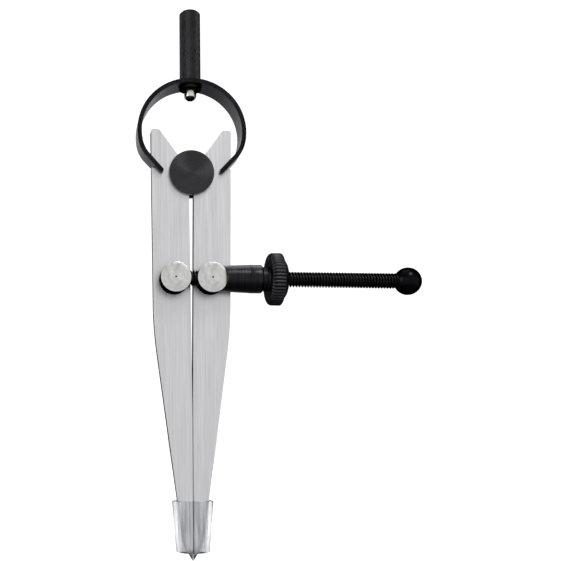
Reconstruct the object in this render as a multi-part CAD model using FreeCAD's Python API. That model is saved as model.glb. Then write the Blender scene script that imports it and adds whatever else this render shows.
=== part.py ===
"""Spring-bow divider, 101.6 mm from fulcrum to points, as separate STEP solids.

Everything is drawn around the fulcrum: +X to the right, -Y to the front, +Z up, millimetres.
On export the model moves down, so that the origin of the part is the middle of the handle.
"""
import FreeCAD
import Part
import math
import os

Vector = FreeCAD.Vector

# ---- driving dimensions ----------------------------------------------------------------------
FULCRUM_TO_POINT = 101.6        # nominal 4 inch divider
THREAD_D = 4.166                # No. 8-32 thread, major diameter
CLEARANCE = 0.05                # running clearance on a face or a radius
BORE_CLEARANCE = 0.08           # radial clearance of the plain bores around the thread
OVERRUN = 1.0                   # how far a cutting or joining form runs past the faces it meets

# legs: half widths are measured from the middle of the closed divider
PLATE_T = 2.6
EAR_TOP = 12.1
EAR_HALF_W = 10.88
EAR_CORNER_R = 0.7
V_ANGLE = 35.5                  # each ear's inner edge, from vertical
KNEE_DROP = 42.0                # below the knee the legs taper faster
KNEE_HALF_W = 10.15
KNEE_BLEND = 6.5
POINT_START_DROP = 96.0
POINT_START_HALF_W = 2.75
POINT_MID_DROP = 99.7
POINT_MID_HALF_W = 1.3
POINT_END_W = 0.08
GAP_TOP_HALF = 0.66             # half the gap between the legs, just below the fulcrum
GAP_END_HALF = 0.08
GAP_END_DROP = 62.0
THIN_START_DROP = 76.0          # the plate is ground thinner from here to the points
THIN_END_T = 1.9
POINT_MID_T_SHARE = 0.6         # thickness at the middle of the point, as a share of THIN_END_T

# fulcrum: an axle with two discs, clasped by the recess in each leg
AXLE_R = 4.0
DISC_R = 6.05
DISC_T = 1.2
DISC_CHAMFER = 0.2
RIVET_R = 2.2
RIVET_T = 0.5

# bow spring: a ring that tightens into two straight limbs, hooked over the legs
BOW_R = 14.1                    # centre line of the strip
BOW_T = 1.2
BOW_CENTRE = 11.1               # above the fulcrum
BOW_TURN_R = 8.0
BOW_TURN_START = 12.0           # degrees below the ring's widest level
BOW_TURN_END = 43.0
BOW_LIMB = 5.35
BOW_W = 7.2
BOW_TIP_W = 4.9
BOW_TAPER_TOP = 9.0
HOOK_DEPTH = 2.15               # how far each end's slot straddles the plate
NOTCH_SWING = 40.0              # the leg's notch is flared by this angle
NOTCH_GAP = 0.45                # free play between the slot's end and the notch's floor
NOTCH_REACH = 8.0               # past the leg's outer edge
SLOT_REACH = 2.0                # past the strip's faces and its end

# handle on top of the bow
HANDLE_R = 2.9
HANDLE_L = 20.1
HANDLE_CHAMFER = 0.6
HANDLE_FOOT_BREAK = 0.3
SPIGOT_R = 1.2
WASHER_R = 3.0
WASHER_DROP = 0.95
SPIGOT_NUT_R = 1.7
SPIGOT_NUT_L = 2.25
SPIGOT_NUT_CHAMFER = 0.2
SPIGOT_NIB = 0.55

# swivel studs and the screw in front of the legs
STUD_X = 4.8
STUD_DROP = 29.1
STUD_R = 3.95
STUD_H = 5.3                    # in front of the plate
STUD_CHAMFER = 0.15
SHANK_R = 2.5
STUD_WASHER_T = 0.8
STUD_RIVET_T = 0.45
STUD_RIVET_R = 3.0
SCREW_FORWARD = 2.75            # screw axis in front of the plate
SCREW_START_X = -8.0
SCREW_PIN_R = 0.75
BALL_X = 57.5
BALL_R = 3.7
BALL_FLAT = 3.3
BALL_THREAD = 0.5               # the thread ends this far short of the ball's centre

# thrust bush, collar and nut, from the guide stud outwards
BUSH_START_R = 3.3
BUSH_END_R = 3.74
BUSH_END_X = 14.63
BUSH_FLAT = 2.65                # flat on the back of the bush, from its axis
COLLAR_R = 3.78
COLLAR_END_X = 18.1
COLLAR_CHAMFER = 0.3
HUB_R = 3.2
HUB_START_X = 15.9
NUT_FACE_X = 19.75
NUT_R = 6.94
NUT_RIM_START_X = 20.45
NUT_RIM_END_X = 23.15
NUT_SHOULDER_X = 23.45
NUT_SHOULDER_R = 5.65
NUT_BOSS_X = 24.35
NUT_BOSS_R = 4.5
NUT_END_X = 24.85
NUT_END_R = 2.6
NUT_FACE_R = 6.3

# clear sleeve over the points: a soft round tube, pulled flat at the top
SLEEVE_TOP_DROP = 86.5
SLEEVE_END_DROP = 99.5
SLEEVE_WALL = 0.95
SLEEVE_TOP_R = 2.7
SLEEVE_TOP_FLAT = 1.75
SLEEVE_END_R = 3.1
SLEEVE_END_FLAT = 0.3

# ---- worked out from the driving dimensions ---------------------------------------------------
HALF_T = PLATE_T / 2
THREAD_R = THREAD_D / 2
BORE_R = THREAD_R + BORE_CLEARANCE
BOW_TOP = BOW_CENTRE + BOW_R + BOW_T / 2
BOW_INNER_R = BOW_R - BOW_T / 2
SCREW_Y = -HALF_T - SCREW_FORWARD
HANDLE_MIDDLE = BOW_TOP + HANDLE_L / 2
PLATE_GAP_Y = HALF_T + CLEARANCE
X_AXIS = Vector(1, 0, 0)
Y_AXIS = Vector(0, 1, 0)
Z_AXIS = Vector(0, 0, 1)


def flat(x, z):
    """A point given as it is seen from the front."""
    return Vector(x, 0, z)


def heading(degrees):
    """Unit vector in the front view, at an angle from +X towards +Z."""
    a = math.radians(degrees)
    return flat(math.cos(a), math.sin(a))


def line(a, b):
    return Part.LineSegment(a, b).toShape()


def arc(a, middle, b):
    return Part.Arc(a, middle, b).toShape()


def rounded(before, corner, after, tangent):
    """The arc that rounds a corner, starting and ending the tangent length away from it."""
    to_before = (before - corner).normalize()
    to_after = (after - corner).normalize()
    half = to_before.getAngle(to_after) / 2
    radius = tangent * math.tan(half)
    bisector = (to_before + to_after).normalize()
    middle = corner + bisector * (tangent / math.cos(half) - radius)
    return corner + to_before * tangent, middle, corner + to_after * tangent


def prism(edges, low, high):
    """A closed front-view outline, as a solid between two depths."""
    face = Part.Face(Part.Wire(edges))
    face.translate(Y_AXIS * low)
    return face.extrude(Y_AXIS * (high - low))


def polygon_prism(points, low, high):
    closed = points + points[:1]
    return prism([line(a, b) for a, b in zip(closed, closed[1:])], low, high)


def revolve_x(profile, z=0.0, y=0.0):
    """Turns a profile of (x, radius) points about an axis along X."""
    points = [Vector(x, y, z + r) for x, r in profile]
    closed = points + points[:1]
    face = Part.Face(Part.Wire([line(a, b) for a, b in zip(closed, closed[1:])]))
    return face.revolve(Vector(0, y, z), X_AXIS, 360)


def revolve_y(profile, x=0.0, z=0.0):
    """Turns a profile of (y, radius) points about an axis along Y."""
    points = [Vector(x + r, y, z) for y, r in profile]
    closed = points + points[:1]
    face = Part.Face(Part.Wire([line(a, b) for a, b in zip(closed, closed[1:])]))
    return face.revolve(Vector(x, 0, z), Y_AXIS, 360)


def rod_y(radius, low, high, x=0.0, z=0.0):
    return Part.makeCylinder(radius, high - low, Vector(x, low, z), Y_AXIS)


def rod_x(radius, low, high):
    """A cylinder on the screw's axis."""
    return Part.makeCylinder(radius, high - low, Vector(low, SCREW_Y, -STUD_DROP), X_AXIS)


def rod_z(radius, low, high):
    return Part.makeCylinder(radius, high - low, flat(0, low), Z_AXIS)


def mirrored(shape):
    """The left-hand twin of a right-hand shape."""
    return shape.mirror(Vector(0, 0, 0), X_AXIS)


# ---- the bow's right limb, which the leg's notch follows --------------------------------------
def ring_point(radius, below):
    """A point on the ring, an angle below its widest level on the right."""
    return flat(0, BOW_CENTRE) + heading(-below) * radius


def turn_point(radius, below):
    """A point on the tighter turn that leads from the ring into the limb."""
    centre = ring_point(BOW_R - BOW_TURN_R, BOW_TURN_START)
    return centre + heading(-below) * radius


LIMB_DIRECTION = heading(-BOW_TURN_END - 90)
LIMB_TIP = turn_point(BOW_TURN_R, BOW_TURN_END) + LIMB_DIRECTION * BOW_LIMB


# ---- legs -------------------------------------------------------------------------------------
def leg_outline():
    """The right leg, anticlockwise from the bottom of its fulcrum recess."""
    recess_r = AXLE_R + CLEARANCE
    inner_top = flat(GAP_TOP_HALF, -math.sqrt(recess_r ** 2 - GAP_TOP_HALF ** 2))
    gap_end = flat(GAP_END_HALF, -GAP_END_DROP)
    point_in = flat(GAP_END_HALF, -FULCRUM_TO_POINT)
    point_out = flat(GAP_END_HALF + POINT_END_W, -FULCRUM_TO_POINT)
    point_mid = flat(POINT_MID_HALF_W, -POINT_MID_DROP)
    point_start = flat(POINT_START_HALF_W, -POINT_START_DROP)
    knee = flat(KNEE_HALF_W, -KNEE_DROP)
    ear_out = flat(EAR_HALF_W, EAR_TOP)
    ear_in = flat(EAR_TOP * math.tan(math.radians(V_ANGLE)), EAR_TOP)
    recess_top = heading(90 - V_ANGLE) * recess_r
    knee_arc = rounded(point_start, knee, ear_out, KNEE_BLEND)
    out_arc = rounded(knee, ear_out, ear_in, EAR_CORNER_R)
    in_arc = rounded(ear_out, ear_in, recess_top, EAR_CORNER_R)
    return [
        line(inner_top, gap_end),
        line(gap_end, point_in),
        line(point_in, point_out),
        arc(point_out, point_mid, point_start),
        line(point_start, knee_arc[0]),
        arc(*knee_arc),
        line(knee_arc[2], out_arc[0]),
        arc(*out_arc),
        line(out_arc[2], in_arc[0]),
        arc(*in_arc),
        line(in_arc[2], recess_top),
        arc(recess_top, flat(recess_r, 0), inner_top),
    ]


def side_envelope():
    """The legs' thickness seen from the side: a plate that is ground thin and then to a point."""
    width = 2 * (EAR_HALF_W + OVERRUN)
    thin = THIN_END_T / 2

    def at(y, z):
        return Vector(-width / 2, y, z)

    tip = POINT_END_W
    above = EAR_TOP + OVERRUN
    mid = thin * POINT_MID_T_SHARE
    edges = [
        line(at(HALF_T, above), at(-HALF_T, above)),
        line(at(-HALF_T, above), at(-HALF_T, -THIN_START_DROP)),
        line(at(-HALF_T, -THIN_START_DROP), at(-thin, -POINT_START_DROP)),
        arc(at(-thin, -POINT_START_DROP), at(-mid, -POINT_MID_DROP), at(-tip, -FULCRUM_TO_POINT)),
        line(at(-tip, -FULCRUM_TO_POINT), at(tip, -FULCRUM_TO_POINT)),
        arc(at(tip, -FULCRUM_TO_POINT), at(mid, -POINT_MID_DROP), at(thin, -POINT_START_DROP)),
        line(at(thin, -POINT_START_DROP), at(HALF_T, -THIN_START_DROP)),
        line(at(HALF_T, -THIN_START_DROP), at(HALF_T, above)),
    ]
    return Part.Face(Part.Wire(edges)).extrude(X_AXIS * width)


def bow_notch():
    """The flared notch in the right leg's edge that the bow's end sits in."""
    half = BOW_T / 2 + CLEARANCE
    outward = -LIMB_DIRECTION
    upper_angle = math.degrees(math.atan2(outward.z, outward.x))
    lower_angle = upper_angle - NOTCH_SWING
    floor = LIMB_TIP + outward * (HOOK_DEPTH - NOTCH_GAP)
    upper = floor + heading(upper_angle + 90) * half
    lower = floor - heading(upper_angle + 90) * half
    return polygon_prism([
        upper,
        lower,
        lower + heading(lower_angle) * NOTCH_REACH,
        upper + heading(upper_angle) * NOTCH_REACH,
    ], -PLATE_T, PLATE_T)


def right_leg():
    plate = prism(leg_outline(), -HALF_T, HALF_T)
    plate = plate.common(side_envelope())
    plate = plate.cut(bow_notch())
    plate = plate.cut(rod_y(SHANK_R + CLEARANCE, -PLATE_T, PLATE_T, STUD_X, -STUD_DROP))
    return plate.removeSplitter()


# ---- fulcrum ----------------------------------------------------------------------------------
def fulcrum_pin():
    """The front disc and axle in one piece, its thin end riveted over the back disc."""
    back = PLATE_GAP_Y + DISC_T
    front = -PLATE_GAP_Y - DISC_T
    return revolve_y([
        (front, 0),
        (front, DISC_R - DISC_CHAMFER),
        (front + DISC_CHAMFER, DISC_R),
        (-PLATE_GAP_Y, DISC_R),
        (-PLATE_GAP_Y, AXLE_R),
        (PLATE_GAP_Y, AXLE_R),
        (PLATE_GAP_Y, RIVET_R),
        (back, RIVET_R),
        (back, RIVET_R + RIVET_T),
        (back + RIVET_T, RIVET_R),
        (back + RIVET_T, 0),
    ])


def fulcrum_back_disc():
    back = PLATE_GAP_Y + DISC_T
    return revolve_y([
        (PLATE_GAP_Y, RIVET_R),
        (PLATE_GAP_Y, DISC_R),
        (back - DISC_CHAMFER, DISC_R),
        (back, DISC_R - DISC_CHAMFER),
        (back, RIVET_R),
    ])


# ---- bow and handle ---------------------------------------------------------------------------
def bow_half_edges(radius, turn_radius, side):
    """One face of the strip, from the top of the ring to the end of the right limb."""
    top = flat(0, BOW_CENTRE + radius)
    shoulder = ring_point(radius, -45)
    turn_start = ring_point(radius, BOW_TURN_START)
    turn_middle = turn_point(turn_radius, (BOW_TURN_START + BOW_TURN_END) / 2)
    turn_end = turn_point(turn_radius, BOW_TURN_END)
    outward = heading(-BOW_TURN_END) * (side * BOW_T / 2)
    return [
        arc(top, shoulder, turn_start),
        arc(turn_start, turn_middle, turn_end),
        line(turn_end, LIMB_TIP + outward),
    ]


def bow_spring():
    half_t = BOW_T / 2
    outer = bow_half_edges(BOW_R + half_t, BOW_TURN_R + half_t, 1)
    inner = bow_half_edges(BOW_R - half_t, BOW_TURN_R - half_t, -1)
    normal = heading(-BOW_TURN_END) * half_t
    end = arc(LIMB_TIP + normal, LIMB_TIP + LIMB_DIRECTION * half_t, LIMB_TIP - normal)
    seam = line(flat(0, BOW_CENTRE + BOW_R + half_t), flat(0, BOW_CENTRE + BOW_R - half_t))
    half = prism(Part.__sortEdges__(outer + [end] + inner + [seam]), -BOW_W / 2, BOW_W / 2)
    ring = half.fuse(mirrored(half)).removeSplitter()

    tip_z = LIMB_TIP.z - BOW_T
    top = BOW_TOP + OVERRUN
    profile = [
        (-BOW_W / 2, top), (-BOW_W / 2, BOW_TAPER_TOP), (-BOW_TIP_W / 2, tip_z),
        (BOW_TIP_W / 2, tip_z), (BOW_W / 2, BOW_TAPER_TOP), (BOW_W / 2, top),
    ]
    width = 2 * (BOW_R + BOW_T + OVERRUN)
    corners = [Vector(-width / 2, y, z) for y, z in profile]
    closed = corners + corners[:1]
    envelope = Part.Face(Part.Wire([line(a, b) for a, b in zip(closed, closed[1:])])).extrude(X_AXIS * width)
    ring = ring.common(envelope)

    slot = hook_slot()
    ring = ring.cut(slot).cut(mirrored(slot))
    return ring.cut(rod_z(SPIGOT_R, BOW_CENTRE, top)).removeSplitter()


def hook_slot():
    """The slot in the right limb's end that lets it straddle the plate."""
    across = heading(-BOW_TURN_END)
    far = LIMB_TIP + LIMB_DIRECTION * SLOT_REACH
    near = LIMB_TIP - LIMB_DIRECTION * HOOK_DEPTH
    side = across * SLOT_REACH
    return polygon_prism([
        far + side, near + side, near - side, far - side,
    ], -PLATE_GAP_Y, PLATE_GAP_Y)


def handle():
    """The grip, hollowed to sit on the bow, with a spigot down through it."""
    grip = rod_z(HANDLE_R, BOW_TOP, BOW_TOP + HANDLE_L)
    ends = {BOW_TOP: HANDLE_FOOT_BREAK, BOW_TOP + HANDLE_L: HANDLE_CHAMFER}
    for z, size in ends.items():
        edges = [e for e in grip.Edges if e.BoundBox.ZMin > z - 1e-6 and e.BoundBox.ZMax < z + 1e-6]
        grip = grip.makeChamfer(size, edges)
    grip = grip.fuse(rod_z(HANDLE_R - HANDLE_FOOT_BREAK, BOW_TOP - HANDLE_R, BOW_TOP))
    saddle = rod_y(BOW_R + BOW_T / 2, -BOW_W, BOW_W, 0, BOW_CENTRE)
    grip = grip.cut(saddle)
    spigot_end = BOW_CENTRE + BOW_INNER_R - WASHER_DROP - SPIGOT_NUT_L - SPIGOT_NIB
    return grip.fuse(rod_z(SPIGOT_R, spigot_end, BOW_TOP + OVERRUN)).removeSplitter()


def handle_washer():
    """A washer whose top is rounded to the inside of the bow."""
    top = BOW_CENTRE + BOW_INNER_R
    disc = rod_z(WASHER_R, top - WASHER_DROP, top + OVERRUN)
    inside = rod_y(BOW_INNER_R, -BOW_W, BOW_W, 0, BOW_CENTRE)
    return disc.common(inside).cut(rod_z(SPIGOT_R, BOW_CENTRE, BOW_TOP))


def spigot_nut():
    top = BOW_CENTRE + BOW_INNER_R - WASHER_DROP
    nut = rod_z(SPIGOT_NUT_R, top - SPIGOT_NUT_L, top)
    lower = [e for e in nut.Edges if e.BoundBox.ZMax < top - SPIGOT_NUT_L + 1e-6]
    nut = nut.makeChamfer(SPIGOT_NUT_CHAMFER, lower)
    return nut.cut(rod_z(SPIGOT_R, BOW_CENTRE, top + OVERRUN))


# ---- swivel studs -----------------------------------------------------------------------------
def stud(x):
    """A drum in front of the leg, its shank through the leg and riveted behind a washer."""
    front = -HALF_T - STUD_H
    washer_back = PLATE_GAP_Y + STUD_WASHER_T
    return revolve_y([
        (front, 0),
        (front, STUD_R - STUD_CHAMFER),
        (front + STUD_CHAMFER, STUD_R),
        (-PLATE_GAP_Y, STUD_R),
        (-PLATE_GAP_Y, SHANK_R),
        (washer_back, SHANK_R),
        (washer_back, STUD_RIVET_R),
        (washer_back + STUD_RIVET_T, SHANK_R),
        (washer_back + STUD_RIVET_T, 0),
    ], x, -STUD_DROP)


def stud_washer(x):
    return revolve_y([
        (PLATE_GAP_Y, SHANK_R),
        (PLATE_GAP_Y, STUD_R),
        (PLATE_GAP_Y + STUD_WASHER_T, STUD_R),
        (PLATE_GAP_Y + STUD_WASHER_T, SHANK_R),
    ], x, -STUD_DROP)


def screw_pin_hole():
    """The pin runs up the anchor stud's shank from behind, into the screw."""
    back = PLATE_GAP_Y + STUD_WASHER_T + STUD_RIVET_T
    return rod_y(SCREW_PIN_R, SCREW_Y, back, -STUD_X, -STUD_DROP)


def anchor_stud():
    body = stud(-STUD_X).cut(rod_x(THREAD_R, SCREW_START_X, 0))
    return body.cut(screw_pin_hole())


def guide_stud():
    return stud(STUD_X).cut(rod_x(BORE_R, 0, BUSH_END_X))


# ---- screw, bush, collar and nut --------------------------------------------------------------
def adjusting_screw():
    rod = rod_x(THREAD_R, SCREW_START_X, BALL_X - BALL_THREAD)
    return rod.cut(screw_pin_hole())


def ball_end():
    centre = Vector(BALL_X, SCREW_Y, -STUD_DROP)
    ball = Part.makeSphere(BALL_R, centre, X_AXIS)
    ball = ball.cut(rod_x(BALL_R, BALL_X - 2 * BALL_R, BALL_X - BALL_FLAT))
    return ball.cut(rod_x(THREAD_R, BALL_X - 2 * BALL_R, BALL_X - BALL_THREAD))


def thrust_bush():
    """A tapered bush, saddled onto the guide stud, with a flat that clears the leg."""
    bush = revolve_x([
        (STUD_X, BORE_R), (STUD_X, BUSH_START_R), (BUSH_END_X, BUSH_END_R), (BUSH_END_X, BORE_R),
    ], -STUD_DROP, SCREW_Y)
    bush = bush.cut(rod_y(STUD_R, -4 * STUD_R, PLATE_T, STUD_X, -STUD_DROP))
    size = 2 * BUSH_END_X
    behind = Part.makeBox(size, size, size, Vector(0, SCREW_Y + BUSH_FLAT, -STUD_DROP - size / 2))
    return bush.cut(behind)


def nut_collar():
    """The ring that the nut's hub turns in."""
    hub_bore = HUB_R + CLEARANCE
    return revolve_x([
        (BUSH_END_X, BORE_R),
        (BUSH_END_X, COLLAR_R),
        (COLLAR_END_X - COLLAR_CHAMFER, COLLAR_R),
        (COLLAR_END_X, COLLAR_R - COLLAR_CHAMFER),
        (COLLAR_END_X, hub_bore),
        (HUB_START_X - CLEARANCE, hub_bore),
        (HUB_START_X - CLEARANCE, BORE_R),
    ], -STUD_DROP, SCREW_Y)


def adjusting_nut():
    return revolve_x([
        (HUB_START_X, BORE_R),
        (HUB_START_X, HUB_R),
        (NUT_FACE_X, HUB_R),
        (NUT_FACE_X, NUT_FACE_R),
        (NUT_RIM_START_X, NUT_R),
        (NUT_RIM_END_X, NUT_R),
        (NUT_SHOULDER_X, NUT_SHOULDER_R),
        (NUT_BOSS_X, NUT_BOSS_R),
        (NUT_END_X, NUT_END_R),
        (NUT_END_X, BORE_R),
    ], -STUD_DROP, SCREW_Y)


# ---- sleeve -----------------------------------------------------------------------------------
def stadium(radius, half_flat, drop):
    """A flattened round outline, level, at a depth below the fulcrum."""
    z = -drop
    right, left = Vector(half_flat, 0, z), Vector(-half_flat, 0, z)
    back, front = Vector(0, radius, 0), Vector(0, -radius, 0)
    return Part.Wire([
        line(left + front, right + front),
        arc(right + front, right + X_AXIS * radius, right + back),
        line(right + back, left + back),
        arc(left + back, left - X_AXIS * radius, left + front),
    ])


def sleeve_form(grow, past):
    """The tube's solid form, grown by a wall thickness and run past its ends."""
    fall = (SLEEVE_END_R - SLEEVE_TOP_R) / (SLEEVE_END_DROP - SLEEVE_TOP_DROP)
    narrow = (SLEEVE_END_FLAT - SLEEVE_TOP_FLAT) / (SLEEVE_END_DROP - SLEEVE_TOP_DROP)
    top = stadium(
        SLEEVE_TOP_R - fall * past + grow, SLEEVE_TOP_FLAT - narrow * past, SLEEVE_TOP_DROP - past)
    end = stadium(
        SLEEVE_END_R + fall * past + grow, SLEEVE_END_FLAT + narrow * past, SLEEVE_END_DROP + past)
    return Part.makeLoft([top, end], True, True)


def tip_sleeve():
    return sleeve_form(SLEEVE_WALL, 0).cut(sleeve_form(0, 0.5))


# ---- export -----------------------------------------------------------------------------------
def build():
    leg = right_leg()
    return {
        "left_leg": mirrored(leg),
        "right_leg": leg,
        "fulcrum_pin": fulcrum_pin(),
        "fulcrum_back_disc": fulcrum_back_disc(),
        "bow_spring": bow_spring(),
        "handle": handle(),
        "handle_washer": handle_washer(),
        "spigot_nut": spigot_nut(),
        "anchor_stud": anchor_stud(),
        "anchor_washer": stud_washer(-STUD_X),
        "guide_stud": guide_stud(),
        "guide_washer": stud_washer(STUD_X),
        "screw_pin": screw_pin_hole(),
        "adjusting_screw": adjusting_screw(),
        "ball_end": ball_end(),
        "thrust_bush": thrust_bush(),
        "nut_collar": nut_collar(),
        "adjusting_nut": adjusting_nut(),
        "tip_sleeve": tip_sleeve(),
    }


def export(shapes):
    os.makedirs("parts", exist_ok=True)
    for name, shape in shapes.items():
        solids = shape.Solids
        assert len(solids) == 1 and solids[0].isValid(), name
        solid = solids[0].copy()
        solid.translate(Z_AXIS * -HANDLE_MIDDLE)
        solid.exportStep(f"parts/{name}.step")
        box = solid.BoundBox
        print(f"{name:18s} {solid.Volume:9.2f} mm3  x {box.XMin:7.2f} {box.XMax:7.2f}"
              f"  y {box.YMin:6.2f} {box.YMax:6.2f}  z {box.ZMin:8.2f} {box.ZMax:7.2f}")


export(build())
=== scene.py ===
import logging
import math
from dataclasses import dataclass
from enum import Enum
from typing import Any, Iterable, Sequence

import bmesh
import bpy
from mathutils import Matrix, Vector


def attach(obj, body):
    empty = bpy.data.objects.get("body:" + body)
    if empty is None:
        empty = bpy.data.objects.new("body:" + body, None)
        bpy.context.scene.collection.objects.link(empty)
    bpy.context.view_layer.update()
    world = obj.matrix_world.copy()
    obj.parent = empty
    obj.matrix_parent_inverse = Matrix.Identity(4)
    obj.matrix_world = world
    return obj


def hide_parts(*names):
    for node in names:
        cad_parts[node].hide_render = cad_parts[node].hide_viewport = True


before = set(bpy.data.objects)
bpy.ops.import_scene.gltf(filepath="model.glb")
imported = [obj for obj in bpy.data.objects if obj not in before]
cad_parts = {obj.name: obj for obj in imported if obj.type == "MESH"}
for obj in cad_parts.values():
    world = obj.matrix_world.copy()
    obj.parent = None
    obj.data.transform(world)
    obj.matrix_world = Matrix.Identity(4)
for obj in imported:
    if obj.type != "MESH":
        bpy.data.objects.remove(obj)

log = logging.getLogger("spring_divider")

MM = 0.001
WELD = 2e-6
FULL_TURN = 2 * math.pi
FLAT_ANGLE = 0.5
NEAR = 0.01
RELIEF_DEPTH = 0.02
# the spans of a noise's values over which a finish runs from its dark tone to its light one
WIDE_SPAN = (0.3, 0.7)
NARROW_SPAN = (0.35, 0.65)
FULCRUM_Z = -35.85
STUD_Z = FULCRUM_Z - 29.1
SCREW_CENTRE = (0.0, -4.05, STUD_Z)
# the legs' faces stand this far from the middle plane, with a little clearance
HALF_PLATE = 1.35


class Axis(Enum):
    """The directions that this divider's turned pieces lie along."""

    X = (1.0, 0.0, 0.0)
    Y = (0.0, 1.0, 0.0)
    Z = (0.0, 0.0, 1.0)

    @property
    def vector(self) -> Vector:
        """The direction as a vector."""
        return Vector(self.value)

    @property
    def across(self) -> Vector:
        """A direction at right angles, in which a profile's radius is drawn."""
        return Vector((0, 0, 1)) if self is not Axis.Z else Vector((1, 0, 0))


class Slot(Enum):
    """The record's material slots."""

    LEG = "leg_steel"
    STUD = "stud_steel"
    BRIGHT = "bright_turned"
    SPRING = "black_spring"
    TURNED = "black_turned"
    KNURL = "black_knurled"
    THREAD = "black_thread"
    VINYL = "clear_vinyl"


class Blend(Enum):
    """The Mix node's kinds, each with its first input and its output."""

    NUMBER = ("FLOAT", 2, 0)
    COLOUR = ("RGBA", 6, 2)


# ---- materials ------------------------------------------------------------------------------


def linear(hex_colour: str) -> tuple[float, float, float, float]:
    """Turns an sRGB hex colour into linear values.

    Args:
        hex_colour: six hex digits.

    Returns:
        Red, green, blue and an alpha of 1.
    """
    parts = [int(hex_colour[i:i + 2], 16) / 255 for i in (0, 2, 4)]
    red, green, blue = (p / 12.92 if p <= 0.04045 else ((p + 0.055) / 1.055) ** 2.4 for p in parts)
    return red, green, blue, 1.0


def add_node(tree: bpy.types.NodeTree, kind: str, inputs: dict | None = None, **settings: Any) -> bpy.types.Node:
    """Adds a node with its settings and links.

    Args:
        tree: the node tree.
        kind: the node's type name, without its ShaderNode prefix.
        inputs: a socket to link, or a value, by input name or number.
        settings: the node's own properties.

    Returns:
        The new node.
    """
    node = tree.nodes.new("ShaderNode" + kind)
    for name, value in settings.items():
        setattr(node, name, value)
    for key, value in (inputs or {}).items():
        if isinstance(value, bpy.types.NodeSocket):
            tree.links.new(value, node.inputs[key])
        else:
            node.inputs[key].default_value = value
    return node


def new_material(name: str) -> tuple[bpy.types.Material, bpy.types.NodeTree, bpy.types.Node]:
    """Makes a material with only a Principled shader and its output.

    Args:
        name: the material's name.

    Returns:
        The material, its node tree and the shader node.
    """
    material = bpy.data.materials.new(name)
    material.use_nodes = True
    tree = material.node_tree
    tree.nodes.clear()
    shader = add_node(tree, "BsdfPrincipled")
    add_node(tree, "OutputMaterial", {"Surface": shader.outputs[0]})
    return material, tree, shader


def set_shader(tree: bpy.types.NodeTree, shader: bpy.types.Node, **inputs: Any) -> None:
    """Sets or links the shader's inputs.

    Args:
        tree: the shader's tree.
        shader: the Principled node.
        inputs: values or sockets, by input name with _ for a space.
    """
    for key, value in inputs.items():
        socket = shader.inputs[key.replace("_", " ")]
        if isinstance(value, bpy.types.NodeSocket):
            tree.links.new(value, socket)
        else:
            socket.default_value = value


def centred(tree: bpy.types.NodeTree, centre: Sequence[float],
            scale: Sequence[float] = (1, 1, 1)) -> bpy.types.NodeSocket:
    """Object coordinates counted from a centre.

    Args:
        tree: the material's tree.
        centre: the centre in millimetres.
        scale: factors per axis, applied after the centring.

    Returns:
        The vector socket, in metres times scale.
    """
    coords = add_node(tree, "TexCoord")
    shift = [-c * MM * s for c, s in zip(centre, scale)]
    mapping = add_node(tree, "Mapping", {"Vector": coords.outputs["Object"], "Location": shift, "Scale": scale})
    return mapping.outputs[0]


def ramp(tree: bpy.types.NodeTree, factor: bpy.types.NodeSocket,
         stops: Sequence[tuple[float, str]]) -> bpy.types.NodeSocket:
    """A colour ramp.

    Args:
        tree: the material's tree.
        factor: what drives it.
        stops: positions with sRGB hex colours.

    Returns:
        The colour socket.
    """
    node = add_node(tree, "ValToRGB", {"Fac": factor})
    elements = node.color_ramp.elements
    while len(elements) < len(stops):
        elements.new(0.5)
    for element, (position, colour) in zip(elements, stops):
        element.position = position
        element.color = linear(colour)
    return node.outputs[0]


def two_tone(tree: bpy.types.NodeTree, factor: bpy.types.NodeSocket, span: tuple[float, float], dark: str,
             light: str) -> bpy.types.NodeSocket:
    """A colour that runs from a dark tone to a light one.

    Args:
        tree: the material's tree.
        factor: what drives it.
        span: the factor's values at the dark tone and the light one.
        dark: the dark tone in sRGB hex.
        light: the light tone in sRGB hex.

    Returns:
        The colour socket.
    """
    return ramp(tree, factor, [(span[0], dark), (span[1], light)])


def spread(tree: bpy.types.NodeTree, value: bpy.types.NodeSocket, source: tuple[float, float],
           target: tuple[float, float]) -> bpy.types.NodeSocket:
    """Maps a value from one range onto another, clamped.

    Args:
        tree: the material's tree.
        value: the socket to map.
        source: the range it is read over.
        target: the range it becomes.

    Returns:
        The mapped socket.
    """
    node = add_node(tree, "MapRange", {
        "Value": value, "From Min": source[0], "From Max": source[1], "To Min": target[0], "To Max": target[1]})
    return node.outputs[0]


def maths(tree: bpy.types.NodeTree, operation: str, first: Any, second: Any) -> bpy.types.NodeSocket:
    """One step of arithmetic.

    Args:
        tree: the material's tree.
        operation: the Math node's operation.
        first: a value or socket.
        second: a value or socket.

    Returns:
        The result's socket.
    """
    return add_node(tree, "Math", {0: first, 1: second}, operation=operation).outputs[0]


def mixed(tree: bpy.types.NodeTree, share: Any, first: Any, second: Any,
          blend: Blend = Blend.NUMBER) -> bpy.types.NodeSocket:
    """Blends two values or two colours.

    Args:
        tree: the material's tree.
        share: how much of the second is taken.
        first: a value or socket.
        second: a value or socket.
        blend: what is blended.

    Returns:
        The blend's socket.
    """
    kind, at, result = blend.value
    return add_node(tree, "Mix", {0: share, at: first, at + 1: second}, data_type=kind).outputs[result]


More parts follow.
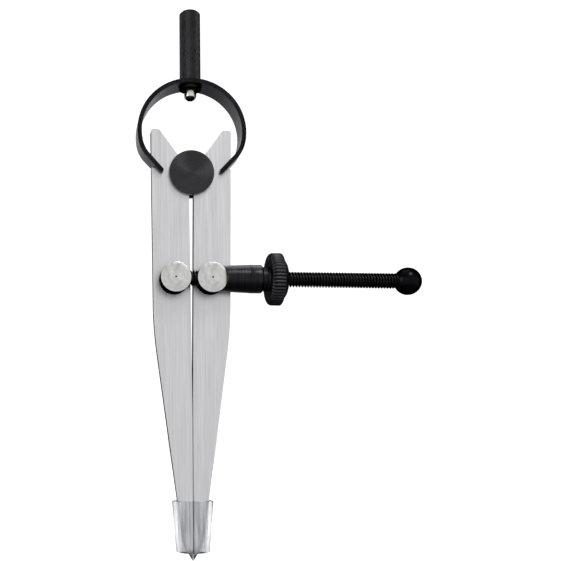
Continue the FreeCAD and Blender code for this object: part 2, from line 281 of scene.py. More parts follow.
def noise(tree: bpy.types.NodeTree, size: Sequence[float], detail: float, centre: Sequence[float] = (0, 0, 0),
          roughness: float = 0.5) -> bpy.types.NodeSocket:
    """Noise in the object's own space.

    Args:
        tree: the material's tree.
        size: the size of its largest grains per axis, in millimetres.
        detail: how many finer layers it has.
        centre: the place it is counted from, in millimetres.
        roughness: how strong the finer layers are.

    Returns:
        The noise's socket.
    """
    vector = centred(tree, centre, [1 / (s * MM) for s in size])
    node = add_node(tree, "TexNoise", {"Vector": vector, "Scale": 1.0, "Detail": detail, "Roughness": roughness})
    return node.outputs[0]


def relief(tree: bpy.types.NodeTree, height: bpy.types.NodeSocket, strength: float) -> bpy.types.NodeSocket:
    """Fine relief for a shader's normal.

    Args:
        tree: the material's tree.
        height: what drives it.
        strength: how strong it is.

    Returns:
        The normal's socket.
    """
    node = add_node(tree, "Bump", {"Strength": strength, "Distance": RELIEF_DEPTH * MM, "Height": height})
    return node.outputs[0]


def along_and_out(tree: bpy.types.NodeTree, axis: Axis,
                  centre: Sequence[float]) -> tuple[bpy.types.NodeSocket, bpy.types.NodeSocket]:
    """The place along an axis and the distance from it.

    Args:
        tree: the material's tree.
        axis: the axis that the piece was turned on.
        centre: a point on it, in millimetres.

    Returns:
        The two sockets, in metres.
    """
    split = add_node(tree, "SeparateXYZ", {0: centred(tree, centre)})
    order = {Axis.X: (0, 1, 2), Axis.Y: (1, 0, 2), Axis.Z: (2, 0, 1)}[axis]
    along, first, second = (split.outputs[i] for i in order)
    flat = add_node(tree, "CombineXYZ", {0: first, 1: second})
    out = add_node(tree, "VectorMath", {0: flat.outputs[0]}, operation="LENGTH")
    return along, out.outputs["Value"]


@dataclass(frozen=True)
class GroundSteel:
    """Flat ground and brushed tool steel.

    The fine lengthwise lines stretch a reflection sideways and leave a soft pale grey; the colour turns darker towards
    the points' very ends.
    """

    name: str = "ground_brushed_steel"
    light: str = "E1E1E3"
    dark: str = "C8C8CA"
    tip: str = "6A6A6D"
    roughness: tuple[float, float] = (0.30, 0.42)
    # real brush lines are about 0.05 mm; drawn at 0.3 mm so that they show
    line_width: float = 0.3
    line_length: float = 14.0
    # broad bands of tone, this many times the size of the lines
    band_size: float = 6.25
    band_share: float = 0.25
    bump: float = 0.12
    tip_from: float = -135.2
    tip_to: float = -136.2

    def make(self) -> bpy.types.Material:
        """Builds the material."""
        material, tree, shader = new_material(self.name)
        size = (self.line_width, self.line_width, self.line_length)
        lines = noise(tree, size, 4.0, roughness=0.6)
        bands = noise(tree, [s * self.band_size for s in size], 2.0)
        both = mixed(tree, self.band_share, lines, bands)
        face = two_tone(tree, both, WIDE_SPAN, self.dark, self.light)
        height = add_node(tree, "SeparateXYZ", {0: centred(tree, (0, 0, 0))})
        tip = spread(tree, height.outputs[2], (self.tip_from * MM, self.tip_to * MM), (0, 1))
        set_shader(tree, shader, Base_Color=mixed(tree, tip, face, linear(self.tip), Blend.COLOUR), Metallic=1.0,
                   Roughness=spread(tree, lines, WIDE_SPAN, self.roughness), Normal=relief(tree, lines, self.bump))
        return material


@dataclass(frozen=True)
class TurnedMetal:
    """A surface cut on a lathe: rings from the tool's feed pull each highlight out across them."""

    name: str
    axis: Axis
    centre: tuple[float, float, float]
    light: str
    dark: str
    roughness: tuple[float, float] = (0.25, 0.4)
    # real feed marks are about 0.05 mm apart; drawn wider so that they show
    ring: float = 0.16
    bump: float = 0.3
    patch: float = 1.6
    patchiness: float = 0.4
    anisotropy: float = 0.0

    def make(self) -> bpy.types.Material:
        """Builds the material."""
        material, tree, shader = new_material(self.name)
        along, out = along_and_out(tree, self.axis, self.centre)
        rings = add_node(tree, "TexNoise", {"W": maths(tree, "ADD", along, out), "Scale": 1 / (self.ring * MM),
                                            "Detail": 3.0}, noise_dimensions="1D").outputs[0]
        patches = noise(tree, (self.patch,) * 3, 5.0, self.centre)
        both = mixed(tree, self.patchiness, rings, patches)
        tone = two_tone(tree, both, WIDE_SPAN, self.dark, self.light)
        set_shader(tree, shader, Base_Color=tone, Metallic=1.0, Normal=relief(tree, rings, self.bump),
                   Roughness=spread(tree, both, WIDE_SPAN, self.roughness))
        if self.anisotropy:
            tangent = add_node(tree, "Tangent", direction_type="RADIAL", axis=self.axis.name)
            set_shader(tree, shader, Anisotropic=self.anisotropy, Tangent=tangent.outputs[0])
        return material


@dataclass(frozen=True)
class BlackOxide:
    """Hot blackened steel: near black with a satin, faintly mottled oxide.

    It is worn to a lighter grey on what stands proudest, such as the crests of a thread or a knurl.
    """

    name: str
    light: str = "303032"
    dark: str = "19191A"
    roughness: tuple[float, float] = (0.34, 0.5)
    grain: float = 0.35
    cloud: float = 4.0
    bump: float = 0.25
    worn: str = "4A4A4C"
    axis: Axis | None = None
    centre: tuple[float, float, float] = (0.0, 0.0, 0.0)
    worn_from: float = 0.0
    worn_to: float = 0.0
    wear: float = 0.5
    # the oxide's reflection stays dark even at a low angle
    glancing: str = "8A8A8C"

    def make(self) -> bpy.types.Material:
        """Builds the material."""
        material, tree, shader = new_material(self.name)
        grain = noise(tree, (self.grain,) * 3, 6.0)
        both = mixed(tree, 0.5, grain, noise(tree, (self.cloud,) * 3, 3.0))
        colour = two_tone(tree, both, NARROW_SPAN, self.dark, self.light)
        if self.axis is not None:
            _, out = along_and_out(tree, self.axis, self.centre)
            crest = spread(tree, out, (self.worn_from * MM, self.worn_to * MM), (0, self.wear))
            patchy = maths(tree, "MULTIPLY", crest, spread(tree, grain, (0.35, 0.6), (0.2, 1)))
            colour = mixed(tree, patchy, colour, linear(self.worn), Blend.COLOUR)
        set_shader(tree, shader, Base_Color=colour, Metallic=1.0, Specular_Tint=linear(self.glancing),
                   Roughness=spread(tree, both, NARROW_SPAN, self.roughness), Normal=relief(tree, grain, self.bump))
        return material


@dataclass(frozen=True)
class ClearVinyl:
    """Soft clear PVC tube: it bends what is seen through it and has slight drag lines from extrusion."""

    name: str = "clear_soft_vinyl"
    light: str = "E8E9EA"
    dark: str = "B8B9BB"
    roughness: float = 0.12
    ior: float = 1.38
    line_width: float = 0.5
    line_length: float = 9.0
    bump: float = 0.25

    def make(self) -> bpy.types.Material:
        """Builds the material."""
        material, tree, shader = new_material(self.name)
        drag = noise(tree, (self.line_width, self.line_width, self.line_length), 2.0)
        tone = two_tone(tree, drag, NARROW_SPAN, self.dark, self.light)
        set_shader(tree, shader, Base_Color=tone, Roughness=self.roughness, Normal=relief(tree, drag, self.bump),
                   Transmission_Weight=1.0, IOR=self.ior)
        return material


# ---- mesh work ------------------------------------------------------------------------------


def lathe(profile: Sequence[tuple[float, float]], axis: Axis, centre: Sequence[float], steps: int = 96,
          closed: bool = False) -> bmesh.types.BMesh:
    """Spins a profile about an axis.

    Args:
        profile: places along the axis with radii, in millimetres.
        axis: the axis it is turned on.
        centre: where the profile's zero lies, in millimetres.
        steps: divisions round the circle.
        closed: whether the profile closes on itself, as on a piece with a bore.

    Returns:
        The turned mesh, welded, with its faces outwards.
    """
    bm = bmesh.new()
    origin = Vector(centre) * MM
    points = [bm.verts.new(origin + (axis.vector * a + axis.across * r) * MM) for a, r in profile]
    pairs = list(zip(points, points[1:])) + ([(points[-1], points[0])] if closed else [])
    edges = [bm.edges.new(pair) for pair in pairs]
    bmesh.ops.spin(bm, geom=points + edges, cent=origin, axis=axis.vector, angle=FULL_TURN, steps=steps, use_merge=True)
    bmesh.ops.remove_doubles(bm, verts=bm.verts, dist=WELD)
    bmesh.ops.recalc_face_normals(bm, faces=bm.faces)
    return bm


def soften(bm: bmesh.types.BMesh, width: float, segments: int = 2, least_angle: float = 28.0) -> None:
    """Bevels the hard edges of a mesh.

    Args:
        bm: the mesh.
        width: the bevel's width in millimetres.
        segments: how many faces round the bevel.
        least_angle: an edge flatter than this, in degrees, stays.
    """
    hard = [e for e in bm.edges if e.is_manifold and e.calc_face_angle(0) > math.radians(least_angle)]
    bmesh.ops.bevel(bm, geom=hard, offset=width * MM, offset_type="OFFSET", affect="EDGES", segments=segments,
                    profile=0.5, material=-1, clamp_overlap=True)


def cad_copy(node: str) -> bmesh.types.BMesh:
    """A merged copy of a CAD node's mesh, with its flat faces whole.

    Args:
        node: the CAD node's name.

    Returns:
        The copy.
    """
    bm = bmesh.new()
    bm.from_mesh(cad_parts[node].data)
    bmesh.ops.remove_doubles(bm, verts=bm.verts, dist=WELD)
    bmesh.ops.dissolve_limit(bm, angle_limit=math.radians(FLAT_ANGLE), verts=bm.verts, edges=bm.edges)
    return bm


@dataclass
class Maker:
    """Turns meshes into pieces that ride on their bodies."""

    smooth_angle: float = 32.0
    bevel_angle: float = 35.0
    bevel_segments: int = 2

    def piece(self, name: str, bm: bmesh.types.BMesh, materials: Iterable[bpy.types.Material], body: str,
              slot: Slot, nodes: Sequence[str], bevel: float = 0.0) -> bpy.types.Object:
        """Makes a piece from a mesh.

        Args:
            name: the piece's name.
            bm: its mesh, which is used up.
            materials: its materials in slot order.
            body: the CAD body that it rides on.
            slot: the record's material slot; not used.
            nodes: the CAD nodes that it stands for.
            bevel: the width of a live bevel in millimetres, or 0 for none.

        Returns:
            The piece.
        """
        mesh = bpy.data.meshes.new(name)
        for face in bm.faces:
            face.smooth = True
        bm.to_mesh(mesh)
        bm.free()
        mesh.set_sharp_from_angle(angle=math.radians(self.smooth_angle))
        for material in materials:
            mesh.materials.append(material)
        piece = bpy.data.objects.new(name, mesh)
        bpy.context.scene.collection.objects.link(piece)
        if bevel:
            edge = piece.modifiers.new("edge", "BEVEL")
            edge.width, edge.segments, edge.limit_method = bevel * MM, self.bevel_segments, "ANGLE"
            edge.angle_limit, edge.harden_normals = math.radians(self.bevel_angle), True
        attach(piece, body)
        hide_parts(*nodes)
        log.info("%s rides on %s: %d faces", name, body, len(mesh.polygons))
        return piece


# ---- the legs -------------------------------------------------------------------------------


@dataclass
class Legs:
    """The two flat legs with their dry points, and the clear sleeve over the points."""

    maker: Maker
    edge: float = 0.12
    # a face gets the bright steel when at least this much of its normal points to the front or back; the side faces get
    # a painted shade
    facing: float = 0.7
    sleeve_top: float = FULCRUM_Z - 86.5
    sleeve_end: float = FULCRUM_Z - 99.5
    top_radius: float = 2.7
    top_flat: float = 1.75
    end_radius: float = 3.1
    end_flat: float = 0.3
    wall: float = 0.95
    rim: float = 0.3
    rings: int = 64

    def make(self) -> None:
        """Builds both legs, with painted shade on their side faces, and the sleeve."""
        steel = GroundSteel().make()
        # painted shade: the plates' side faces get a dark grey in place of steel, standing in for the shade between the
        # legs and the dark room the sides reflect
        sides = BlackOxide("painted_shade_leg_sides", light="4C4C4E", dark="38383A", glancing="58585A").make()
        for side in ("left", "right"):
            plate = cad_copy(f"{side}_leg")
            for face in plate.faces:
                face.material_index = 0 if abs(face.normal.y) > self.facing else 1
            self.maker.piece(f"{side}_leg_plate", plate, [steel, sides], f"{side}_leg", Slot.LEG, [f"{side}_leg"],
                             bevel=self.edge)
        clear = self.maker.piece("clear_sleeve", self.sleeve(), [ClearVinyl().make()], "sleeve", Slot.VINYL,
                                 ["tip_sleeve"])
        # clear plastic lets the light through to the floor
        clear.visible_shadow = clear.visible_diffuse = False

    def ring(self, bm: bmesh.types.BMesh, z: float, grow: float) -> list[bmesh.types.BMEdge]:
        """A level flattened ring of the sleeve.

        Args:
            bm: the mesh it goes in.
            z: its height in millimetres.
            grow: how far it lies outside the bore's outline.

        Returns:
            Its edges.
        """
        share = (self.sleeve_top - z) / (self.sleeve_top - self.sleeve_end)
        radius = self.top_radius + (self.end_radius - self.top_radius) * share + grow
        flat = self.top_flat + (self.end_flat - self.top_flat) * share
        made = bmesh.ops.create_circle(bm, segments=self.rings, radius=radius * MM,
                                       matrix=Matrix.Translation((0, 0, z * MM)))["verts"]
        bmesh.ops.translate(bm, verts=[v for v in made if v.co.x > WELD], vec=(flat * MM, 0, 0))
        bmesh.ops.translate(bm, verts=[v for v in made if v.co.x < -WELD], vec=(-flat * MM, 0, 0))
        return list({e for v in made for e in v.link_edges})

    def sleeve(self) -> bmesh.types.BMesh:
        """The tube, flattened at its top, with rounded rims.

        Returns:
            Its mesh.
        """
        bm = bmesh.new()
        top, end, rim, wall = self.sleeve_top, self.sleeve_end, self.rim, self.wall
        corner, inner = rim * 0.3, rim * 0.7
        path = [(end + rim, wall), (end + corner, wall - corner), (end, wall - rim), (end, inner), (end + inner, 0),
                (top - inner, 0), (top, inner), (top, wall - rim), (top - corner, wall - corner), (top - rim, wall)]
        loops = [self.ring(bm, z, grow) for z, grow in path]
        for one, other in zip(loops, loops[1:] + loops[:1]):
            bmesh.ops.bridge_loops(bm, edges=one + other)
        bmesh.ops.recalc_face_normals(bm, faces=bm.faces)
        return bm


# ---- the head: handle, bow spring and fulcrum -------------------------------------------------


@dataclass
class Head:
    """The knurled handle riveted through the bow spring, and the fulcrum that the legs turn on."""

    maker: Maker
    radius: float = 2.9
    top: float = 10.05
    foot: float = -10.05
    top_chamfer: float = 0.6
    foot_break: float = 0.3
    saddle: float = 0.3
    knurls: int = 44
    knurl_rows: int = 54
    knurl_depth: float = 0.11
    spigot_radius: float = 1.2
    spigot_start: float = -11.05
    spigot_end: float = -15.0
    spigot_break: float = 0.25
    nut_top: float = -12.2
    nut_end: float = -14.45
    nut_radius: float = 1.7
    disc_radius: float = 6.05
    disc_face: float = -2.55
    disc_dish: float = 0.02
    flange_back: float = HALF_PLATE + 1.2
    axle: float = 4.0
    rivet: float = 2.2
    rivet_head: float = 0.5

    def make(self) -> None:
        """Builds the head's pieces."""
        place = self.maker.piece
        knurled = BlackOxide("black_oxide_knurled_grip", axis=Axis.Z, worn_from=self.radius - 0.12,
                             worn_to=self.radius, wear=0.8, worn="5A5A5C", light="2A2A2C", dark="161617").make()
        place("knurled_grip", self.grip(), [knurled], "handle_and_bow", Slot.KNURL, ["handle"])
        spring = BlackOxide("blued_spring_strip", light="29292B", dark="151516", glancing="E8E8EA", grain=0.5,
                            roughness=(0.26, 0.4)).make()
        place("bow_strip", cad_copy("bow_spring"), [spring], "handle_and_bow", Slot.SPRING, ["bow_spring"],
              bevel=0.14)
        black = BlackOxide("black_oxide_washer").make()
        place("saddle_washer", cad_copy("handle_washer"), [black], "handle_and_bow", Slot.TURNED, ["handle_washer"],
              bevel=0.1)
        bright = TurnedMetal("bright_turned_steel", Axis.Z, (0, 0, 0), "E6E4DF", "C4C2BD",
                             roughness=(0.16, 0.3)).make()
        place("bright_spigot_nut", self.spigot_nut(), [bright], "handle_and_bow", Slot.BRIGHT, ["spigot_nut"])
        centre = (0.0, 0.0, FULCRUM_Z)
        disc = TurnedMetal("black_turned_disc", Axis.Y, centre, "424245", "313134", roughness=(0.26, 0.36), bump=0.25,
                           ring=0.2, patchiness=0.1, anisotropy=0.75).make()
        place("fulcrum_disc", self.fulcrum_pin(), [disc], "fulcrum", Slot.TURNED, ["fulcrum_pin"])
        place("fulcrum_back_ring", self.back_disc(), [disc], "fulcrum", Slot.TURNED, ["fulcrum_back_disc"])

    def grip(self) -> bmesh.types.BMesh:
        """The grip with its diamond knurl, and the spigot below it.

        Returns:
            Their mesh.
        """
        low, high = self.foot + self.foot_break, self.top - self.top_chamfer
        step = (high - low) / self.knurl_rows
        rows = [(low + step * i, self.radius) for i in range(self.knurl_rows + 1)]
        profile = [(self.foot - self.saddle, 0), (self.foot - self.saddle, self.radius - self.foot_break),
                   (self.foot, self.radius - self.foot_break), *rows,
                   (self.top, self.radius - self.top_chamfer), (self.top, 0)]
        bm = lathe(profile, Axis.Z, (0, 0, 0), steps=2 * self.knurls)
        turn = FULL_TURN / (2 * self.knurls)
        valleys = []
        for vert in bm.verts:
            row = (vert.co.z / MM - low) / step
            out = math.hypot(vert.co.x, vert.co.y) / MM
            if -NEAR < row < self.knurl_rows + NEAR and out > self.radius - NEAR:
                column = round(math.atan2(vert.co.y, vert.co.x) / turn)
                if (round(row) + column) % 2:
                    valleys.append(vert)
        bmesh.ops.connect_verts(bm, verts=valleys)
        shrink = 1 - self.knurl_depth / self.radius
        bmesh.ops.scale(bm, vec=(shrink, shrink, 1), verts=valleys)
        spigot = lathe([(self.spigot_end, 0), (self.spigot_end, self.spigot_radius - self.spigot_break),
                        (self.spigot_end + self.spigot_break, self.spigot_radius),
                        (self.spigot_start, self.spigot_radius), (self.spigot_start, 0)], Axis.Z, (0, 0, 0), steps=48)
        return joined(bm, spigot)

    def spigot_nut(self) -> bmesh.types.BMesh:
        """The small round nut on the spigot.

        Returns:
            Its mesh.
        """
        bore = self.spigot_radius
        bm = lathe([(self.nut_top, bore), (self.nut_top, self.nut_radius), (self.nut_end, self.nut_radius),
                    (self.nut_end, bore)], Axis.Z, (0, 0, 0), steps=64, closed=True)
        soften(bm, width=0.2, segments=3)
        return bm

    def fulcrum_pin(self) -> bmesh.types.BMesh:
        """The front disc with its axle and riveted end.

        Returns:
            Its mesh.
        """
        back, head = self.flange_back, self.rivet_head
        bm = lathe([(self.disc_face + self.disc_dish, 0), (self.disc_face, self.disc_radius),
                    (-HALF_PLATE, self.disc_radius), (-HALF_PLATE, self.axle), (HALF_PLATE, self.axle),
                    (HALF_PLATE, self.rivet), (back, self.rivet), (back, self.rivet + head),
                    (back + head, self.rivet), (back + head, 0)], Axis.Y, (0, 0, FULCRUM_Z))
        soften(bm, width=0.12, segments=3)
        return bm

    def back_disc(self) -> bmesh.types.BMesh:
        """The disc behind the legs.

        Returns:
            Its mesh.
        """
        bm = lathe([(HALF_PLATE, self.rivet), (HALF_PLATE, self.disc_radius), (self.flange_back, self.disc_radius),
                    (self.flange_back, self.rivet)], Axis.Y, (0, 0, FULCRUM_Z), closed=True)
        soften(bm, width=0.15, segments=3)
        return bm


def joined(*parts: bmesh.types.BMesh) -> bmesh.types.BMesh:
    """Puts several meshes in one.

    Args:
        parts: the meshes, which are used up.

    Returns:
        One mesh that holds them all.
    """
    whole = bmesh.new()
    for part in parts:
        mesh = bpy.data.meshes.new("part")
        part.to_mesh(mesh)
        part.free()
        whole.from_mesh(mesh)
        bpy.data.meshes.remove(mesh)
    return whole


# ---- the screw and its studs ------------------------------------------------------------------


@dataclass
class ScrewGroup:
    """The swivel studs, the threaded screw with its ball, and the bush, collar and nut on it."""

    maker: Maker
    stud_x: float = 4.8
    stud_face: float = -6.6
    stud_radius: float = 3.95
    stud_edge: float = 0.1
    dimple: float = 0.26
    dimple_depth: float = 0.3
    shank: float = 2.5
    washer_back: float = 2.15
    rivet_lip: float = 0.5
    rivet_height: float = 0.45
    thread_radius: float = 2.083
    root_radius: float = 1.6
    pitch: float = 0.79375
    # along one pitch, where the groove ends and the crest starts and ends
    flanks: tuple[float, float, float] = (0.25, 0.56, 0.69)
    # how many pitches before its end the sweep starts, to be cut off square
    run_in: float = 1.5
    # clearances of the bores over the thread and over the nut's hub
    thread_gap: float = 0.08
    hub_gap: float = 0.05
    screw_start: float = -8.0
    screw_end: float = 57.0
    thread_steps: int = 24
    ball_x: float = 57.5
    ball_radius: float = 3.7
    ball_flat: float = 3.3
    ball_rings: int = 32
    collar_start: float = 14.63
    collar_end: float = 18.1
    collar_radius: float = 3.78
    hub_radius: float = 3.2
    nut_start: float = 15.9
    nut_face: float = 19.75
    nut_radius: float = 6.94
    nut_back: float = 24.85
    teeth: int = 45
    tooth_depth: float = 0.3
    # how deep the cut goes at each of a tooth's columns, in shares of the depth
    tooth_shares: tuple[float, ...] = (0.0, 0.12, 0.5, 1.0, 0.5, 0.12)
    # the radius from which the teeth run out of the shoulders, and the length of that run
    tooth_from: float = 5.6
    tooth_run: float = 1.0

    def make(self) -> None:
        """Builds the group's pieces."""
        place = self.maker.piece
        oxide = BlackOxide("black_oxide_turned", light="18181A", dark="0C0C0D", roughness=(0.24, 0.36), grain=0.25,
                           glancing="242426").make()
        for name, x, body in (("anchor_stud", -self.stud_x, "screw_swivel"),
                              ("guide_stud", self.stud_x, "bush_swivel")):
            face = TurnedMetal(f"{name}_faced_steel", Axis.Y, (x, 0, STUD_Z), "E6E6E4", "B2B2B0",
                               roughness=(0.26, 0.4), ring=0.22, bump=0.25, patchiness=0.6, anisotropy=0.3).make()
            place(f"{name}_drum", self.stud(x), [oxide, face], body, Slot.STUD, [name])
            flat = TurnedMetal(f"{name}_washer_steel", Axis.Y, (x, 0, STUD_Z), "D2D2D0", "B8B8B6").make()
            washer = name.replace("stud", "washer")
            place(f"{washer}_ring", cad_copy(washer), [flat], body, Slot.STUD, [washer], bevel=0.12)
        bright = TurnedMetal("bright_pin_steel", Axis.Y, (-self.stud_x, 0, STUD_Z), "D8D6D1", "BDBBB6").make()
        pin_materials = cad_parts["screw_pin"].data.materials
        pin_materials.clear()
        pin_materials.append(bright)
        thread = BlackOxide("black_oxide_thread", light="262628", dark="111112", roughness=(0.28, 0.42), grain=0.3,
                            axis=Axis.X, centre=SCREW_CENTRE, worn_from=self.thread_radius - 0.16,
                            worn_to=self.thread_radius, wear=0.35, worn="4A4A4C").make()
        place("threaded_screw", self.screw(), [thread], "screw_swivel", Slot.THREAD, ["adjusting_screw"])
        gloss = BlackOxide("black_oxide_polished_ball", light="1B1B1D", dark="0F0F10", roughness=(0.14, 0.24),
                           bump=0.06).make()
        place("ball_stop", self.ball(), [gloss], "screw_swivel", Slot.TURNED, ["ball_end"])
        turned = TurnedMetal("black_turned_bush", Axis.X, SCREW_CENTRE, "343437", "151517", roughness=(0.24, 0.38),
                             ring=0.3, bump=0.3).make()
        place("tapered_bush", cad_copy("thrust_bush"), [turned], "bush_swivel", Slot.TURNED, ["thrust_bush"],
              bevel=0.12)
        place("bush_collar", self.collar(), [turned], "bush_swivel", Slot.TURNED, ["nut_collar"])
        knurl = BlackOxide("black_oxide_knurled_nut", light="3C3C3F", dark="1E1E20", axis=Axis.X, centre=SCREW_CENTRE,
                           worn_from=self.nut_radius - 0.28, worn_to=self.nut_radius, wear=0.7).make()
        place("knurled_nut", self.nut(), [knurl], "nut", Slot.KNURL, ["adjusting_nut"])

    def stud(self, x: float) -> bmesh.types.BMesh:
        """A drum with a bright faced front, a centre dimple and its riveted shank.

        Args:
            x: where it stands, in millimetres.

        Returns:
            Its mesh; the faced front has material 1.
        """
        face, radius, edge, shank, back = self.stud_face, self.stud_radius, self.stud_edge, self.shank, self.washer_back
        end = back + self.rivet_height
        bm = lathe([(face + self.dimple_depth, 0), (face, self.dimple), (face, radius - edge),
                    (face + edge * 0.3, radius - edge * 0.3), (face + edge, radius), (-HALF_PLATE, radius),
                    (-HALF_PLATE, shank), (back, shank), (back, shank + self.rivet_lip), (end, shank), (end, 0)],
                   Axis.Y, (x, 0, STUD_Z))
        middle = Vector((x, 0, STUD_Z)) * MM
        for part in bm.faces:
            place = part.calc_center_median() - middle
            front = place.y < (face + edge * 0.8) * MM
            part.material_index = int(front and math.hypot(place.x, place.z) > self.dimple * MM)
        return bm

    def screw(self) -> bmesh.types.BMesh:
        """The right-hand thread, swept as one helix and cut square at both ends.

        Returns:
            Its mesh.
        """
        bm = bmesh.new()
        centre = Vector(SCREW_CENTRE) * MM
        pitch, root, crest = self.pitch, self.root_radius, self.thread_radius
        rise, top, fall = (share * pitch for share in self.flanks)
        profile = [(0, root), (rise, root), (top, crest), (fall, crest), (pitch, root)]
        start = self.screw_start - self.run_in * pitch
        points = [bm.verts.new(centre + Vector(((start + a) * MM, 0, r * MM))) for a, r in profile]
        edges = [bm.edges.new(pair) for pair in zip(points, points[1:])]
        turns = math.ceil((self.screw_end - start) / pitch) + 1
        steps = turns * self.thread_steps
        bmesh.ops.spin(bm, geom=points + edges, cent=centre, axis=Axis.X.vector, angle=FULL_TURN * turns, steps=steps,
                       dvec=(pitch * MM / self.thread_steps, 0, 0), use_merge=False)
        bmesh.ops.remove_doubles(bm, verts=bm.verts, dist=WELD * 2)
        for x, side in ((self.screw_start, -1), (self.screw_end, 1)):
            geometry = list(bm.verts) + list(bm.edges) + list(bm.faces)
            bmesh.ops.bisect_plane(bm, geom=geometry, plane_co=(x * MM, 0, 0), plane_no=(side, 0, 0), clear_outer=True)
            bmesh.ops.holes_fill(bm, edges=[e for e in bm.edges if e.is_boundary], sides=0)
        bmesh.ops.recalc_face_normals(bm, faces=bm.faces)
        return bm

    def ball(self) -> bmesh.types.BMesh:
        """The ball that stops the nut, faced off where the screw enters.

        Returns:
            Its mesh.
        """
        first = math.acos(-self.ball_flat / self.ball_radius)
        angles = [first * (1 - i / self.ball_rings) for i in range(self.ball_rings)]
        arc = [(self.ball_x + self.ball_radius * math.cos(a), self.ball_radius * math.sin(a)) for a in angles]
        return lathe([(self.ball_x - self.ball_flat, 0), *arc, (self.ball_x + self.ball_radius, 0)], Axis.X,
                     SCREW_CENTRE, steps=64)

    def collar(self) -> bmesh.types.BMesh:
        """The ring that the nut's hub turns in.

        Returns:
            Its mesh.
        """
        hub, floor = self.hub_radius + self.hub_gap, self.nut_start - self.hub_gap
        bore = self.thread_radius + self.thread_gap
        start, end, radius, chamfer = self.collar_start, self.collar_end, self.collar_radius, 0.3
        bm = lathe([(start, bore), (start, radius), (end - chamfer, radius), (end, radius - chamfer), (end, hub),
                    (floor, hub), (floor, bore)], Axis.X, SCREW_CENTRE, closed=True)
        soften(bm, width=0.1)
        return bm

    def nut(self) -> bmesh.types.BMesh:
        """The nut: its rim is cut with straight teeth that run out over both shoulders.

        Returns:
            Its mesh.
        """
        rim, hub, face, back = self.nut_radius, self.hub_radius, self.nut_face, self.nut_back
        bore = self.thread_radius + self.thread_gap
        profile = [(self.nut_start, bore), (self.nut_start, hub), (face - 0.25, hub), (face, hub + 0.25), (face, 6.2),
                   (face + 0.28, rim - 0.28), (face + 0.7, rim - 0.03), (face + 1.0, rim), (22.9, rim),
                   (23.15, rim - 0.14), (23.3, rim - 0.6), (23.45, 5.65), (24.0, 5.05), (24.35, 4.5), (24.7, 3.5),
                   (back, 2.6), (back, bore)]
        columns = len(self.tooth_shares)
        bm = lathe(profile, Axis.X, SCREW_CENTRE, steps=self.teeth * columns, closed=True)
        centre = Vector(SCREW_CENTRE) * MM
        turn = FULL_TURN / (self.teeth * columns)
        for vert in bm.verts:
            flat = Vector((0, vert.co.y - centre.y, vert.co.z - centre.z))
            past = flat.length / MM - self.tooth_from
            if past < 0:
                continue
            share = self.tooth_shares[round(math.atan2(flat.y, flat.z) / turn) % columns]
            vert.co -= flat.normalized() * self.tooth_depth * share * min(1.0, past / self.tooth_run) * MM
        return bm


# ---- the room -------------------------------------------------------------------------------


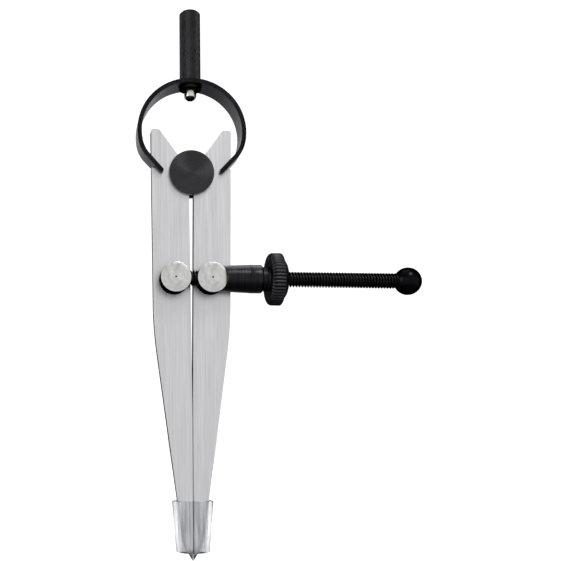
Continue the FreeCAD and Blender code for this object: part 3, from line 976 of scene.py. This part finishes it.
@dataclass
class Studio:
    """A pale floor, soft light and the camera."""

    floor_z: float = -137.45
    floor_size: float = 6000.0
    # the reflected room's tones from straight down to straight up, and how far they sink in front
    room: tuple[tuple[float, str], ...] = ((0.0, "5E5E60"), (0.14, "707072"), (0.27, "A6A6A8"), (0.4, "F0F0F2"),
                                           (0.7, "F4F4F5"), (0.84, "A8A8AA"), (1.0, "D8D8DA"))
    lean: float = 0.12
    white_strength: float = 1.2
    # each lamp's name, place, size and power in watts
    lamps: tuple[tuple[str, tuple[float, float, float], float, float], ...] = (
        ("key", (180, -380, 460), 200, 1.6), ("fill", (-460, -160, 40), 260, 0.5), ("top", (60, 160, 520), 400, 1.5))
    aim: tuple[float, float, float] = (10.0, 0.0, -65.0)
    place: tuple[float, float, float] = (-31.0, -230.0, -104.0)
    yaw: float = 4.32
    pitch: float = 7.04
    roll: float = 0.05
    lens: float = 56.6
    shift: tuple[float, float] = (0.25, 0.07)

    def make(self) -> None:
        """Builds the room."""
        self.floor()
        self.world()
        self.lights()
        self.camera()

    def floor(self) -> None:
        """The plain pale floor."""
        bm = bmesh.new()
        bmesh.ops.create_grid(bm, x_segments=1, y_segments=1, size=self.floor_size * MM / 2,
                              matrix=Matrix.Translation((0, 0, self.floor_z * MM)))
        mesh = bpy.data.meshes.new("floor")
        bm.to_mesh(mesh)
        bm.free()
        material, tree, shader = new_material("pale_floor")
        set_shader(tree, shader, Base_Color=linear("F7F7F7"), Roughness=0.9)
        mesh.materials.append(material)
        floor = bpy.data.objects.new("floor", mesh)
        bpy.context.scene.collection.objects.link(floor)
        floor.visible_glossy = False

    def world(self) -> None:
        """A white background, and for reflections a room that is brightest at eye level and dimmest below."""
        world = bpy.data.worlds.new("studio")
        world.use_nodes = True
        tree = world.node_tree
        tree.nodes.clear()
        coords = add_node(tree, "TexCoord")
        split = add_node(tree, "SeparateXYZ", {0: coords.outputs["Generated"]})
        height = maths(tree, "SUBTRACT", split.outputs[2], maths(tree, "MULTIPLY", split.outputs[1], self.lean))
        room = ramp(tree, spread(tree, height, (-1, 1), (0, 1)), self.room)
        rays = add_node(tree, "LightPath").outputs
        direct = maths(tree, "MAXIMUM", rays["Is Camera Ray"], rays["Is Transmission Ray"])
        plain = maths(tree, "MAXIMUM", direct, rays["Is Diffuse Ray"])
        colour = mixed(tree, plain, room, linear("FFFFFF"), Blend.COLOUR)
        strength = spread(tree, plain, (0, 1), (1.0, self.white_strength))
        shade = add_node(tree, "Background", {"Color": colour, "Strength": strength})
        add_node(tree, "OutputWorld", {"Surface": shade.outputs[0]})
        bpy.context.scene.world = world
        bpy.context.scene.view_settings.view_transform = "Standard"

    def lights(self) -> None:
        """Three soft lamps: the key above in front, a fill from the left and one behind for the floor."""
        for name, place, size, power in self.lamps:
            lamp = bpy.data.lights.new(name, "AREA")
            lamp.shape, lamp.size, lamp.energy = "SQUARE", size * MM, power
            light = bpy.data.objects.new(name, lamp)
            light.location = Vector(place) * MM
            light.rotation_euler = (Vector(self.aim) - Vector(place)).to_track_quat("-Z", "Y").to_euler()
            bpy.context.scene.collection.objects.link(light)

    def camera(self) -> None:
        """The camera: low and to the left, tilted up and turned a little to the right."""
        data = bpy.data.cameras.new("camera")
        data.sensor_width, data.lens = 36.0, self.lens
        data.shift_x, data.shift_y = self.shift
        data.clip_start, data.clip_end = 0.01, 20.0
        camera = bpy.data.objects.new("camera", data)
        yaw, pitch, roll = (math.radians(a) for a in (self.yaw, self.pitch, self.roll))
        ahead = Vector((math.sin(yaw) * math.cos(pitch), math.cos(yaw) * math.cos(pitch), math.sin(pitch)))
        right = Vector((math.cos(yaw), -math.sin(yaw), 0))
        up = right.cross(ahead)
        right, up = right * math.cos(roll) + up * math.sin(roll), up * math.cos(roll) - right * math.sin(roll)
        turn = Matrix((right, up, -ahead)).transposed().to_4x4()
        camera.matrix_world = Matrix.Translation(Vector(self.place) * MM) @ turn
        bpy.context.scene.collection.objects.link(camera)
        bpy.context.scene.camera = camera


def main() -> None:
    """Builds the divider and its room."""
    logging.basicConfig(level=logging.INFO, format="%(message)s")
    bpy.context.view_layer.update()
    maker = Maker()
    for part in (Studio(), Legs(maker), Head(maker), ScrewGroup(maker)):
        part.make()
    bpy.context.view_layer.update()


if __name__ == "__main__":
    main()
